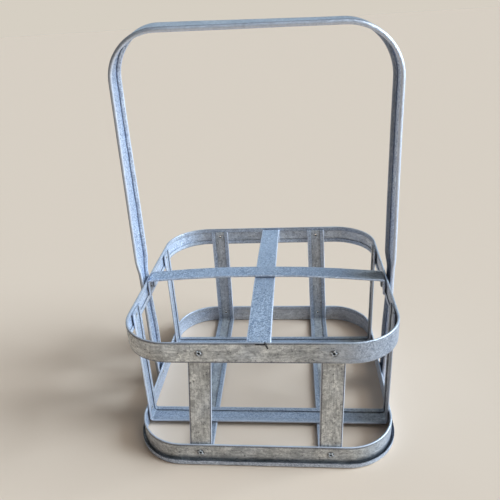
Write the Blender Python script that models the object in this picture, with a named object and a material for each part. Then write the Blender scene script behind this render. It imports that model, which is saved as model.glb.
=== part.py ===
# Four-compartment carrier bent from hemmed galvanized sheet strip.
# Two rounded-square hoops hold four U-shaped straps, two dividers cross the top,
# and a tall fixed handle stands outside the hoops at mid-depth.
# Units are metres, +Z is up, the origin is on the table under the middle of the hoops.
import math

import bmesh
import bpy
from mathutils import Vector

MM = 0.001

# Strip stock: sheet folded back on itself along both edges.
strip_width = 19.0 * MM
sheet = 0.6 * MM
fold_thick = 1.8 * MM
hem_share = 0.25
hem_gap = 0.2 * MM
seat_gap = 0.3 * MM

# Hoops: outside width of the square plan, its corner radius, and the heights of their edges.
hoop_size = 226.0 * MM
hoop_corner = 42.5 * MM
top_hoop_top = 125.5 * MM
bottom_hoop_top = 20.5 * MM

# Foot: the bottom hoop's lower edge is rolled outwards into a narrow gutter.
gutter_gap = 2.2 * MM
gutter_bend = 0.8 * MM
lip_height = 5.2 * MM

# Straps: height of their underside, outer bend radius, and how far their ends stop below the top.
strap_floor = 2.0 * MM
strap_bend = 3.2 * MM
strap_end_drop = 3.5 * MM

# Where each strap runs, as shares of the hoop width from the middle of the plan.
# The four values follow the strap: first leg's top and foot, second leg's foot and top.
strap_runs = {
    "strap_left": (-0.197, -0.242, -0.266, -0.261),
    "strap_right": (0.259, 0.250, 0.240, 0.228),
    "strap_front": (-0.260, -0.260, -0.264, -0.252),
    "strap_rear": (0.262, 0.262, 0.256, 0.256),
}
side_to_side = ("strap_front", "strap_rear")

# Dividers: both arch up to the middle and have their ends bent down inside the top hoop.
# Rises and peak are heights above the hoop's top edge: the lower's ends, the upper's left and right.
divider_tab = 15.0 * MM
divider_bend = 2.4 * MM
divider_run = (0.007, 0.003)
divider_end_rise = -1.4 * MM
cross_end_rises = (1.3 * MM, -0.8 * MM)
cross_peak = 5.7 * MM
cross_place = -5.5 * MM

# Handle: heavier strip with hollow edges, its gap outside the hoops, its height and corner radii.
handle_sheet = 0.7 * MM
handle_thick = 3.8 * MM
handle_bend = 1.4 * MM
handle_stand_off = 1.6 * MM
handle_top = 345.8 * MM
handle_foot_gap = 1.0 * MM
right_corner = 46.0 * MM
left_corner = 41.0 * MM
bar_drop = 4.8 * MM

# How far the legs lean outwards at shares of their height above the top hoop.
leg_shares = (0.08, 0.30, 0.60, 1.0)
right_leg_leans = (-1.1 * MM, -2.0 * MM, -2.9 * MM, -3.4 * MM)
left_leg_leans = (-0.3 * MM, -1.1 * MM, -1.8 * MM, -3.3 * MM)

# How far the strip is twisted just above the top hoop, at the upper corner and along the bar.
right_twists = (math.radians(15.0), math.radians(12.0), math.radians(-7.0))
left_twists = (math.radians(17.0), math.radians(9.0), math.radians(-12.0))
hoop_twist_share = 0.18
span_twist_share = 0.5

# Clinched joints: flower outside, round flange inside, pierced through the middle.
rivet_shank = 1.2 * MM
rivet_bore = 0.65 * MM
rivet_clearance = 0.3 * MM
rivet_head = 2.9 * MM
rivet_crown = 0.75 * MM
rivet_button = 2.6 * MM
rivet_button_height = 0.5 * MM
rivet_petals = 5
rivet_wave = 0.14
rivet_shoulder_share = 0.55
rivet_throat_share = 0.4
low_rivet_share = 0.42

# Facets: steps of the folds, bends, corners and arches, of the handle, and of a rivet's turn.
fold_steps = 4
bend_step = math.radians(30.0)
corner_step = math.radians(15.0)
handle_step = math.radians(10.0)
twist_run = 30.0 * MM
arch_samples = 6
rivet_sides = 10
hold = 0.4 * MM

# Derived places.
half_hoop = hoop_size / 2
fold_bend = fold_thick / 2
hem_width = strip_width * hem_share
hoop_inside = half_hoop - fold_thick
strap_face = hoop_inside - seat_gap
top_hoop_bottom = top_hoop_top - strip_width
top_hoop_middle = top_hoop_top - strip_width / 2
low_rivet_height = bottom_hoop_top - low_rivet_share * strip_width
strap_top = top_hoop_top - strap_end_drop
upper_floor = strap_floor + fold_thick + seat_gap
divider_peak = cross_peak - fold_thick - seat_gap
leg_face_top = half_hoop + handle_stand_off + handle_thick
leg_face_low = half_hoop + seat_gap + handle_thick
leg_bottom = lip_height + handle_foot_gap
leg_bend_low = bottom_hoop_top + strip_width / 4
leg_bend_top = top_hoop_bottom - strip_width / 4
leg_start = top_hoop_top + strip_width / 4


def left_of(direction):
    """Unit normal on the left of a direction in the plane."""
    return Vector((-direction.y, direction.x))


def turned(vector, angle):
    """A plane vector turned by an angle."""
    c = math.cos(angle)
    s = math.sin(angle)
    return Vector((vector.x * c - vector.y * s, vector.x * s + vector.y * c))


def rounded_path(corners, step, closed=False):
    """Points with left normals along a polyline whose corners (u, v, radius) are rounded."""
    path = []
    count = len(corners)
    for i, (u, v, radius) in enumerate(corners):
        here = Vector((u, v))
        if not closed and i in (0, count - 1):
            near = Vector(corners[1][:2]) if i == 0 else Vector(corners[-2][:2])
            direction = (near - here) if i == 0 else (here - near)
            path.append((here, left_of(direction.normalized())))
            continue
        before = (here - Vector(corners[i - 1][:2])).normalized()
        after = (Vector(corners[(i + 1) % count][:2]) - here).normalized()
        turn = math.atan2(before.x * after.y - before.y * after.x, before.dot(after))
        if radius == 0.0:
            path.append((here, left_of((before + after).normalized())))
            continue
        reach = radius * math.tan(abs(turn) / 2)
        start = here - before * reach
        center = start + left_of(before) * math.copysign(radius, turn)
        steps = max(2, math.ceil(abs(turn) / step))
        path.append((start - before * hold, left_of(before)))
        for k in range(steps + 1):
            angle = turn * k / steps
            path.append((center + turned(start - center, angle), turned(left_of(before), angle)))
        path.append((here + after * (reach + hold), left_of(after)))
    return path


def divided(path):
    """The path with its long straight runs cut into shorter ones, for a strip that twists."""
    points = [path[0]]
    for (a, na), (b, nb) in zip(path, path[1:]):
        parts = max(1, round((b - a).length / twist_run))
        for k in range(1, parts + 1):
            share = k / parts
            points.append((a.lerp(b, share), na.lerp(nb, share).normalized()))
    return points


def arc_pairs(center, outer, inner, start, stop, steps):
    """Pairs of points on the two faces of the sheet around a bend of the section."""
    pairs = []
    for k in range(steps + 1):
        angle = start + (stop - start) * k / steps
        arm = Vector((math.cos(angle), math.sin(angle)))
        pairs.append((center + arm * outer, center + arm * inner))
    return pairs


def folded_edge(edge, hem, metal, thick, bend):
    """The web's end and its hem, from the web round the fold at x = edge to the hem's free edge."""
    low = Vector((edge - bend, bend))
    high = Vector((edge - bend, thick - bend))
    reach = Vector((high.x - (edge - hem), 2 * metal + hem_gap - high.y))
    run = math.sqrt(reach.length_squared - bend * bend)
    slope = math.asin((reach.x * bend - reach.y * run) / reach.length_squared)
    pairs = [(Vector((low.x - hold, 0.0)), Vector((low.x - hold, metal)))]
    pairs += arc_pairs(low, bend, bend - metal, -math.pi / 2, 0.0, fold_steps // 2)
    if high.y - low.y < hold:
        pairs.pop()
    turn = math.pi / 2 + slope
    pairs += arc_pairs(high, bend, bend - metal, 0.0, turn, round(fold_steps * turn / math.pi))
    down = Vector((-math.cos(slope), -math.sin(slope))) * run
    outer, inner = pairs[-1]
    pairs.append((outer + down, inner + down))
    return pairs


def hemmed_section(width, metal, thick, bend):
    """Strip section across its width: web on the outside, both edges folded to the inside."""
    right = folded_edge(width / 2, width * hem_share, metal, thick, bend)
    left = [(Vector((-o.x, o.y)), Vector((-i.x, i.y))) for o, i in reversed(right)]
    return left + right


def gutter_section():
    """Bottom hoop section by height: hem at the top inside, wall, rolled gutter and lip outside."""
    pairs = folded_edge(bottom_hoop_top, hem_width, sheet, fold_thick, fold_bend)[::-1]
    roll = gutter_bend + sheet
    pairs.append((Vector((roll + hold, 0.0)), Vector((roll + hold, sheet))))
    near = Vector((roll, -gutter_bend))
    far = Vector((roll, gutter_bend - gutter_gap))
    pairs += arc_pairs(near, gutter_bend, roll, math.pi / 2, math.pi, fold_steps // 2)
    pairs += arc_pairs(far, gutter_bend, roll, math.pi, math.pi * 1.5, fold_steps // 2)
    pairs.append((Vector((lip_height, -gutter_gap)), Vector((lip_height, -gutter_gap - sheet))))
    return pairs


def galvanized(name, tone):
    """Zinc-coated steel of one tone."""
    material = bpy.data.materials.new("galvanized_" + name)
    material.use_nodes = True
    shader = material.node_tree.nodes["Principled BSDF"]
    shader.inputs["Base Color"].default_value = (0.50 * tone, 0.53 * tone, 0.56 * tone, 1.0)
    shader.inputs["Metallic"].default_value = 0.85
    shader.inputs["Roughness"].default_value = 0.42
    return material


def add_object(name, mesh, parent, tone=1.0):
    """Put a mesh in the scene under the carrier with its own material."""
    mesh.materials.append(galvanized(name, tone))
    item = bpy.data.objects.new(name, mesh)
    bpy.context.scene.collection.objects.link(item)
    item.parent = parent
    return item


def finish_mesh(name, bm, crease=40.0):
    """Turn the faces outwards and shade the round parts smooth."""
    bmesh.ops.recalc_face_normals(bm, faces=bm.faces[:])
    mesh = bpy.data.meshes.new(name)
    bm.to_mesh(mesh)
    bm.free()
    mesh.shade_smooth()
    mesh.set_sharp_from_angle(angle=math.radians(crease))
    return mesh


def sweep(name, stations, pairs, closed=False):
    """Carry a section of paired points along stations (place, across, inward)."""
    bm = bmesh.new()
    rings = []
    for place, across, inward in stations:
        front = [bm.verts.new(place + across * o.x + inward * o.y) for o, _ in pairs]
        back = [bm.verts.new(place + across * i.x + inward * i.y) for _, i in pairs]
        rings.append(front + back[::-1])
    count = len(rings[0])
    spans = len(rings) if closed else len(rings) - 1
    for i in range(spans):
        one = rings[i]
        two = rings[(i + 1) % len(rings)]
        for k in range(count):
            j = (k + 1) % count
            bm.faces.new((one[k], one[j], two[j], two[k]))
    if not closed:
        for ring in (rings[0], rings[-1]):
            for k in range(len(pairs) - 1):
                bm.faces.new((ring[k], ring[k + 1], ring[count - 2 - k], ring[count - 1 - k]))
    return finish_mesh(name, bm)


def punch(item, holes):
    """Cut round holes (center, axis) through a piece; the cutter rides with the piece."""
    bm = bmesh.new()
    for center, axis in holes:
        spin = Vector(axis).to_track_quat("Z", "Y").to_matrix().to_4x4()
        spin.translation = Vector(center)
        radius = rivet_shank + rivet_clearance
        bmesh.ops.create_cone(bm, cap_ends=True, segments=rivet_sides, radius1=radius,
                              radius2=radius, depth=fold_thick * 2, matrix=spin)
    mesh = bpy.data.meshes.new(item.name + "_holes")
    bm.to_mesh(mesh)
    bm.free()
    cutter = bpy.data.objects.new(item.name + "_holes", mesh)
    bpy.context.scene.collection.objects.link(cutter)
    cutter.parent = item
    cutter.hide_render = True
    cutter.display_type = "WIRE"
    cut = item.modifiers.new("rivet_holes", "BOOLEAN")
    cut.operation = "DIFFERENCE"
    cut.solver = "EXACT"
    cut.object = cutter


def run_at(values, leg, height):
    """Sideways place of a strap's leg at a height; leg 0 is the first leg and 1 the second."""
    foot = values[1] if leg == 0 else values[2]
    top = values[0] if leg == 0 else values[3]
    share = max(0.0, height - strap_floor) / (strap_top - strap_floor)
    return hoop_size * (foot + (top - foot) * share)


def strap_mesh(name, values, floor):
    """A U-shaped strap in its own frame, running along Y with its first leg at -Y."""
    corners = [
        (-strap_face, strap_top, 0.0),
        (-strap_face, floor, strap_bend),
        (strap_face, floor, strap_bend),
        (strap_face, strap_top, 0.0),
    ]
    stations = []
    for point, normal in rounded_path(corners, bend_step):
        first = run_at(values, 0, point.y)
        second = run_at(values, 1, point.y)
        share = (point.x + strap_face) / (2 * strap_face)
        place = Vector((first + (second - first) * share, point.x, point.y))
        stations.append((place, Vector((1, 0, 0)), Vector((0, normal.x, normal.y))))
    return sweep(name, stations, strip_pairs)


def hoop_stations(height):
    """Stations of the rounded-square plan at one height, outer face on the path."""
    corners = []
    for quarter in range(4):
        angle = math.pi / 4 + quarter * math.pi / 2
        u = math.copysign(half_hoop, math.cos(angle))
        v = math.copysign(half_hoop, math.sin(angle))
        corners.append((u, v, hoop_corner))
    stations = []
    for point, normal in rounded_path(corners, corner_step, closed=True):
        place = Vector((point.x, point.y, height))
        stations.append((place, Vector((0, 0, 1)), Vector((normal.x, normal.y, 0))))
    return stations


def arch_points(first, last, peak):
    """Points of a gentle arch between two end heights, from the end at +u to the end at -u."""
    flat = strap_face - divider_bend
    middle = (first + last) / 2
    points = []
    for k in range(1, arch_samples):
        share = 1 - 2 * k / arch_samples
        line = middle + (first - last) / 2 * share
        points.append((flat * share, line + (peak - middle) * (1 - share * share), 0.0))
    return points


def divider_mesh(name, end_rises, peak, run):
    """A divider in its own frame along Y: arched, its ends bent down inside the top hoop."""
    first, last = [top_hoop_top + rise for rise in end_rises]
    corners = [(strap_face, first - divider_tab, 0.0), (strap_face, first, divider_bend)]
    corners += arch_points(first, last, top_hoop_top + peak)
    corners += [(-strap_face, last, divider_bend), (-strap_face, last - divider_tab, 0.0)]
    stations = []
    for point, normal in rounded_path(corners, bend_step):
        share = (point.x + strap_face) / (2 * strap_face)
        side = hoop_size * (run[0] + (run[1] - run[0]) * share)
        place = Vector((side, point.x, point.y))
        stations.append((place, Vector((1, 0, 0)), Vector((0, normal.x, normal.y))))
    return sweep(name, stations, strip_pairs)


def leg_points(side, leans, top, corner):
    """Outer face of one handle leg from its foot to the bar, at X = side times the distance."""
    points = [
        (leg_face_low, leg_bottom),
        (leg_face_low, leg_bend_low),
        (leg_face_top, leg_bend_top),
        (leg_face_top, leg_start),
    ]
    for share, lean in zip(leg_shares, leans):
        points.append((leg_face_top + lean, leg_start + (top - leg_start) * share))
    rounded = [0.0] * (len(points) - 1) + [corner]
    return [(side * u, v, radius) for (u, v), radius in zip(points, rounded)]


def leg_twists(twists, corner):
    """The strip's twist at distances up one leg, round its corner and along the bar."""
    above, upper, bar = twists
    end = handle_top - leg_bottom - corner
    return [
        (0.0, 0.0),
        (leg_bend_low - leg_bottom, 0.0),
        ((leg_bend_low + leg_bend_top) / 2 - leg_bottom, above * span_twist_share),
        (leg_bend_top - leg_bottom, above * hoop_twist_share),
        (leg_start - leg_bottom, above * hoop_twist_share),
        (leg_start + leg_shares[0] * (handle_top - leg_start) - leg_bottom, above),
        (end, upper),
        (end + math.pi * corner / 2, bar),
    ]


def twist_at(distance, keys):
    """The twist at a distance along the handle."""
    for (a, one), (b, two) in zip(keys, keys[1:]):
        if distance <= b:
            return one + (two - one) * (distance - a) / (b - a)
    return keys[-1][1]


def handle_mesh():
    """The tall inverted U outside both hoops, from the right foot over the bar to the left foot."""
    right = leg_points(1, right_leg_leans, handle_top - bar_drop / 2, right_corner)
    left = leg_points(-1, left_leg_leans, handle_top + bar_drop / 2, left_corner)
    path = divided(rounded_path(right + left[::-1], handle_step))
    lengths = [0.0]
    for (one, _), (two, _) in zip(path, path[1:]):
        lengths.append(lengths[-1] + (two - one).length)
    back = [(lengths[-1] - far, twist) for far, twist in leg_twists(left_twists, left_corner)]
    keys = leg_twists(right_twists, right_corner) + back[::-1]
    stations = []
    for (point, normal), length in zip(path, lengths):
        twist = twist_at(length, keys)
        place = Vector((point.x, cross_place, point.y))
        across = Vector((0, 1, 0))
        inward = Vector((normal.x, 0, normal.y))
        across_now = across * math.cos(twist) + inward * math.sin(twist)
        inward_now = inward * math.cos(twist) - across * math.sin(twist)
        stations.append((place, across_now, inward_now))
    section = hemmed_section(strip_width, handle_sheet, handle_thick, handle_bend)
    return sweep("handle", stations, section)


def rivet_mesh(name, grip):
    """A clinched joint along +Z: petals below zero, tube through the grip, flange above."""
    under = -seat_gap
    over = grip + seat_gap
    profile = [
        (rivet_bore, over + rivet_button_height, 0.0),
        (rivet_bore, under - rivet_crown * rivet_throat_share, 0.0),
        (rivet_head * rivet_shoulder_share, under - rivet_crown, rivet_wave / 2),
        (rivet_head, under, rivet_wave),
        (rivet_shank, under, 0.0),
        (rivet_shank, over, 0.0),
        (rivet_button, over, 0.0),
    ]
    bm = bmesh.new()
    rings = []
    for radius, height, wave in profile:
        ring = []
        for k in range(rivet_sides):
            angle = 2 * math.pi * k / rivet_sides
            r = radius * (1 + wave * math.cos(rivet_petals * angle))
            ring.append(bm.verts.new((r * math.cos(angle), r * math.sin(angle), height)))
        rings.append(ring)
    for one, two in zip(rings, rings[1:] + rings[:1]):
        for k in range(rivet_sides):
            j = (k + 1) % rivet_sides
            bm.faces.new((one[k], one[j], two[j], two[k]))
    return finish_mesh(name, bm, crease=50.0)


def add_rivet(name, outer_point, inward, grip, parent):
    """Place a rivet with its head on the outer face and its shank along the inward direction."""
    item = add_object(name, rivet_mesh(name, grip), parent, 0.85)
    item.location = outer_point
    item.rotation_mode = "QUATERNION"
    item.rotation_quaternion = Vector(inward).to_track_quat("Z", "Y")
    return item


for old in list(bpy.data.objects):
    bpy.data.objects.remove(old, do_unlink=True)

carrier = bpy.data.objects.new("carrier", None)
bpy.context.scene.collection.objects.link(carrier)

hoop_holes = {"top": [], "bottom": []}
levels = (("top", top_hoop_middle), ("bottom", low_rivet_height))
strip_pairs = hemmed_section(strip_width, sheet, fold_thick, fold_bend)

# Straps, each with four punched holes, and the rivets that hold them to both hoops.
for number, (name, values) in enumerate(strap_runs.items()):
    crosswise = name in side_to_side
    floor = upper_floor if crosswise else strap_floor
    strap = add_object(name, strap_mesh(name, values, floor), carrier, 0.97 + 0.02 * number)
    turn = math.pi / 2 if crosswise else 0.0
    strap.rotation_euler = (0.0, 0.0, turn)
    holes = []
    for leg, side in ((0, -1), (1, 1)):
        for level, height in levels:
            across = run_at(values, leg, height)
            holes.append(((across, side * (strap_face - sheet / 2), height), (0, 1, 0)))
            outer = turned(Vector((across, side * half_hoop)), turn)
            inward = turned(Vector((0.0, -float(side))), turn)
            hoop_holes[level].append((outer.x + inward.x * sheet / 2, outer.y + inward.y * sheet / 2,
                                      height, inward.x, inward.y))
            if crosswise:
                wall = "right" if leg == 0 else "left"
            else:
                wall = "front" if leg == 0 else "rear"
            grip = half_hoop - strap_face + sheet
            add_rivet("rivet_" + level + "_" + wall + "_" + name[6:], (outer.x, outer.y, height),
                      (inward.x, inward.y, 0.0), grip, carrier)
    punch(strap, holes)

# Lower divider, under the arch of the upper one.
lower_rises = (divider_end_rise, divider_end_rise)
lower_divider = divider_mesh("divider_front_to_back", lower_rises, divider_peak, divider_run)
add_object("divider_front_to_back", lower_divider, carrier, 1.04)

# Upper divider, turned a quarter, and the handle; each leg's top rivet also holds a divider's tab.
cross_run = (cross_place / hoop_size,) * 2
upper_divider = divider_mesh("divider_side_to_side", cross_end_rises, cross_peak, cross_run)
upper = add_object("divider_side_to_side", upper_divider, carrier, 1.0)
upper.rotation_euler = (0.0, 0.0, math.pi / 2)
handle = add_object("handle", handle_mesh(), carrier, 1.05)
upper_holes = []
handle_holes = []
for wall, side in (("left", -1), ("right", 1)):
    for level, height in levels:
        face = leg_face_top if level == "top" else leg_face_low
        handle_holes.append(((side * (face - handle_sheet / 2), cross_place, height), (1, 0, 0)))
        hoop_holes[level].append((side * (half_hoop - sheet / 2), cross_place, height, -side, 0.0))
        held = half_hoop
        if level == "top":
            upper_holes.append(((cross_place, side * (strap_face - sheet / 2), height), (0, 1, 0)))
            held = strap_face
        add_rivet("rivet_" + level + "_" + wall + "_handle", (side * face, cross_place, height),
                  (-side, 0, 0), face - held + sheet, carrier)
punch(upper, upper_holes)
punch(handle, handle_holes)

# Hoops, punched where every strap and handle leg crosses them.
top_hoop = add_object("top_hoop", sweep("top_hoop", hoop_stations(top_hoop_middle), strip_pairs, True),
                      carrier, 1.02)
bottom_hoop = add_object("bottom_hoop", sweep("bottom_hoop", hoop_stations(0.0), gutter_section(), True),
                         carrier, 0.98)
for level, hoop in (("top", top_hoop), ("bottom", bottom_hoop)):
    punch(hoop, [((x, y, z), (u, v, 0)) for x, y, z, u, v in hoop_holes[level]])
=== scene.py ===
import itertools
import math
from dataclasses import dataclass
from types import SimpleNamespace

import bmesh
import bpy
import numpy as np
from mathutils import Matrix, Vector, kdtree, noise


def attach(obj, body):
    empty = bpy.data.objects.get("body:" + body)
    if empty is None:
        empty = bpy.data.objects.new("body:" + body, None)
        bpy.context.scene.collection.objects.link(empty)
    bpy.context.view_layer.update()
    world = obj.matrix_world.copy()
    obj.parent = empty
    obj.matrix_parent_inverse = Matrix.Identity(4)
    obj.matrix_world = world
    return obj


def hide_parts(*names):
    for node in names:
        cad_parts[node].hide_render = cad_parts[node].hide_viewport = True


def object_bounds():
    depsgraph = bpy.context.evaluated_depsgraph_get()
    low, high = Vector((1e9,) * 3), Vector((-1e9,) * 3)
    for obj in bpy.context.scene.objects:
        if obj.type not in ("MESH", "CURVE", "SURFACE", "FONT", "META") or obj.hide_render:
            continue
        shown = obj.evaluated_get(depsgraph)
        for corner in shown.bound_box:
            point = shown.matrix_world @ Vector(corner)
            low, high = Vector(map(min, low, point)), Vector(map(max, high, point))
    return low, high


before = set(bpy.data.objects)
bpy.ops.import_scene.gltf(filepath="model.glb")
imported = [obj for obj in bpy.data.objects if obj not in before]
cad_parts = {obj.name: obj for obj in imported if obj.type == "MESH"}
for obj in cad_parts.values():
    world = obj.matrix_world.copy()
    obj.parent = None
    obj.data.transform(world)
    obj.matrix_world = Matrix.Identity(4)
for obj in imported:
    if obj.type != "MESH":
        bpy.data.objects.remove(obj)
cad_low, cad_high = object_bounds()

MM = 0.001

# Strip stock, in metres, with the same values as the solids.
STRIP_WIDTH = 19.0 * MM
SHEET = 0.6 * MM
FOLD_THICK = 1.8 * MM
HEM_SHARE = 0.25
HEM_GAP = 0.2 * MM
SEAT_GAP = 0.3 * MM

# Hoops.
HOOP_SIZE = 226.0 * MM
HOOP_CORNER = 42.5 * MM
TOP_HOOP_TOP = 125.5 * MM
BOTTOM_HOOP_TOP = 20.5 * MM
GUTTER_GAP = 2.2 * MM
GUTTER_BEND = 0.8 * MM
LIP_HEIGHT = 5.2 * MM

# Straps. Their runs are the first leg's top and foot and the second leg's, as shares of the hoop's width.
STRAP_FLOOR = 2.0 * MM
STRAP_BEND = 3.2 * MM
STRAP_END_DROP = 3.5 * MM
STRAP_RUNS = {
    "strap_left": ((-0.197, -0.242), (-0.261, -0.266)),
    "strap_right": ((0.259, 0.250), (0.228, 0.240)),
    "strap_front": ((-0.260, -0.260), (-0.252, -0.264)),
    "strap_rear": ((0.262, 0.262), (0.256, 0.256)),
}
SIDE_TO_SIDE = ("strap_front", "strap_rear")

# Dividers.
DIVIDER_TAB = 15.0 * MM
DIVIDER_BEND = 2.4 * MM
DIVIDER_RUN = (0.007, 0.003)
DIVIDER_END_RISE = -1.4 * MM
CROSS_END_RISES = (1.3 * MM, -0.8 * MM)
CROSS_PEAK = 5.7 * MM
CROSS_PLACE = -5.5 * MM

# Handle.
HANDLE_SHEET = 0.7 * MM
HANDLE_THICK = 3.8 * MM
HANDLE_BEND = 1.2 * MM
HANDLE_ROLL = 2.5 * MM
HANDLE_HEM_SHARE = 0.20
HANDLE_BEVEL = 0.7 * MM
HANDLE_STAND_OFF = 1.6 * MM
HANDLE_TOP = 345.8 * MM
HANDLE_FOOT_GAP = 1.0 * MM
RIGHT_CORNER = 46.0 * MM
LEFT_CORNER = 41.0 * MM
BAR_DROP = 4.8 * MM
LEG_SHARES = (0.08, 0.30, 0.60, 1.0)
RIGHT_LEG_LEANS = (-1.1 * MM, -2.0 * MM, -2.9 * MM, -3.4 * MM)
LEFT_LEG_LEANS = (-0.3 * MM, -1.1 * MM, -1.8 * MM, -3.3 * MM)
RIGHT_TWISTS = [math.radians(angle) for angle in (15.0, 12.0, -7.0)]
LEFT_TWISTS = [math.radians(angle) for angle in (17.0, 9.0, -12.0)]
HOOP_TWIST_SHARE = 0.18
SPAN_TWIST_SHARE = 0.5

# Clinched joints.
LOW_RIVET_SHARE = 0.42
HOLE_RADIUS = 1.45 * MM
HOLE_DEPTH = 3.2 * MM
HOLE_SIDES = 20
JOINT_SIDES = 60
JOINT_NECK = 1.42 * MM
JOINT_BORE = 1.15 * MM
BORE_CHANGE = 0.2 * MM
JOINT_TURN = 2.4

# The slit at the seam in the front of the top hoop and the oblique tear at its right end.
SEAM_LEFT = (-0.1 * MM, 124.1 * MM)
SEAM_RIGHT = (7.1 * MM, 124.0 * MM)
TEAR_TOP = (-0.6 * MM, 1.6 * MM)
TEAR_FOOT = (1.4 * MM, -3.2 * MM)
SEAM_WIDTH = 0.5 * MM
TEAR_WIDTH = 0.7 * MM
SLIT_DEPTH = 1.1 * MM
# Points along each slit at which painted shade is laid.
SLIT_SHADE_PARTS = 7

# Fineness of the shown pieces.
FOLD_STEPS = 10
GUTTER_STEPS = 5
BEND_STEP = math.radians(7.5)
CORNER_STEP = math.radians(4.0)
STATION = 2.5 * MM
ARCH_SAMPLES = 6
HOLD = 0.4 * MM
EDGE_ROUND = 0.14 * MM
STRIP_SHARP = math.radians(38.0)
JOINT_SHARP = math.radians(50.0)

# Unevenness of hand work: pitch and height of waves in the hems' free edges, the folds and the strip,
# and how far each seed moves the noise that they come from.
HEM_WAVE = (11.0 * MM, 0.45 * MM)
HEM_RIPPLE = (3.5 * MM, 0.2 * MM)
FOLD_WAVE = (19.0 * MM, 0.12 * MM)
SWAY_WAVE = (33.0 * MM, 0.08 * MM)
SEED_STEPS = (7.31, 3.17, 5.53)

# Bulges of the folds: reach along the strip and size above a strap's bends, and the same on a
# divider's tabs after the distance down from the bend.
STRAP_CRIMP_RISE = 1.5 * MM
STRAP_CRIMP = (2.2 * MM, 0.35 * MM)
TAB_CRIMPS = (
    (10.0 * MM, 1.7 * MM, 0.6 * MM),
    (4.0 * MM, 1.7 * MM, 0.75 * MM),
    (-0.8 * MM, 1.2 * MM, 0.85 * MM),
)

# Marks on the section that the materials read: share of the way to the edge, and round the hem.
WEB_MARKS = (0.25, 0.5, 0.66)
FOLD_MARK = 0.9
ARC_HEM_MARK = 0.15
GUTTER_MARK = -0.8
LIP_MARK = -0.9

# Derived places.
HALF_HOOP = HOOP_SIZE / 2
FOLD_BEND = FOLD_THICK / 2
STRAP_FACE = HALF_HOOP - FOLD_THICK - SEAT_GAP
TOP_HOOP_BOTTOM = TOP_HOOP_TOP - STRIP_WIDTH
TOP_HOOP_MIDDLE = TOP_HOOP_TOP - STRIP_WIDTH / 2
LOW_RIVET_HEIGHT = BOTTOM_HOOP_TOP - LOW_RIVET_SHARE * STRIP_WIDTH
STRAP_TOP = TOP_HOOP_TOP - STRAP_END_DROP
UPPER_FLOOR = STRAP_FLOOR + FOLD_THICK + SEAT_GAP
DIVIDER_PEAK = CROSS_PEAK - FOLD_THICK - SEAT_GAP
LEG_FACE_TOP = HALF_HOOP + HANDLE_STAND_OFF + HANDLE_THICK
LEG_FACE_LOW = HALF_HOOP + SEAT_GAP + HANDLE_THICK
LEG_BOTTOM = LIP_HEIGHT + HANDLE_FOOT_GAP
LEG_BEND_LOW = BOTTOM_HOOP_TOP + STRIP_WIDTH / 4
LEG_BEND_TOP = TOP_HOOP_BOTTOM - STRIP_WIDTH / 4
LEG_START = TOP_HOOP_TOP + STRIP_WIDTH / 4

# Folds: sheet, thickness over the hem, and the fold's radii beside the hem and beside the outer face.
STRIP_FOLD = (SHEET, FOLD_THICK, FOLD_BEND, FOLD_BEND)
HANDLE_FOLD = (HANDLE_SHEET, HANDLE_THICK, HANDLE_BEND, HANDLE_ROLL)

# Heights of the joints at the two hoops.
LEVELS = (("top", TOP_HOOP_MIDDLE), ("bottom", LOW_RIVET_HEIGHT))

# Fineness of the zinc's pattern, in features a metre. Streaks and smears are drawn out along the strip.
SPANGLE = 1150.0
FINE_SCALE = 1700.0
SMALL_SCALE = 430.0
PATCH_SCALE = 80.0
WIDE_SCALE = 24.0
STREAK_SCALE = (34.0, 34.0, 760.0)
SMEAR_SCALE = (85.0, 85.0, 330.0)
BORE_SCALE = 2500.0

# Relief of the zinc, and how little is dull on a clean stretch and how far it takes to get there.
RELIEF_DEPTH = 0.16 * MM
RELIEF_STRENGTH = 0.4
CLEAN_SHARE = 0.15
CLEAN_REACH = 36 * MM

# Colours of the zinc.
SPANGLE_DARK = (0.28, 0.36, 0.52)
SPANGLE_BRIGHT = (0.76, 0.85, 1.0)
SPANGLE_CLOUD = (0.50, 0.585, 0.75)
DULL_DARK = (0.46, 0.46, 0.455)
DULL_PALE = (0.87, 0.87, 0.85)
DULL_STAIN = (0.36, 0.36, 0.355)
DULL_CHALK = (0.95, 0.95, 0.92)
STREAK_GREY = (0.27, 0.27, 0.275)
# Painted shade in the crease beside a fold.
CREASE_SHADE = (0.09, 0.09, 0.12)
# Rims bright with wear and painted highlight, on the dull and on the clean stretch.
RIM_WEAR_AND_HIGHLIGHT = (0.76, 0.82, 0.95)
RIM_CLEAN_WEAR_AND_HIGHLIGHT = (0.80, 0.86, 0.95)
# Painted shade with grime at the hems' inner edges.
HEM_SHADE_AND_DIRT = (0.04, 0.045, 0.055)
# Painted shade on the bottom hoop's wall just above its gutter.
ROOT_SHADE = (0.03, 0.04, 0.055)
# Soot in pits and round joints, and painted shade near the floor.
SOOT_AND_SHADE = (0.05, 0.05, 0.055)
# Painted shade in the seam's slit and tear.
SLIT_SHADE = (0.01, 0.01, 0.012)
# Painted shade inside the joints' bores.
BORE_SHADE = (0.008, 0.008, 0.009)
BORE_SHADE_GREY = (0.03, 0.03, 0.032)

# Floor and surroundings.
FLOOR_COLOR = (0.737, 0.59, 0.472)
FLOOR_REACH = 20.0
FLOOR_DROP = 0.2 * MM
BACKDROP_COLOR = (0.6725, 0.624, 0.5457)
SURROUND_COLOR = (1.0, 0.97, 0.93)
SURROUND_STRENGTH = 0.03

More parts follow.
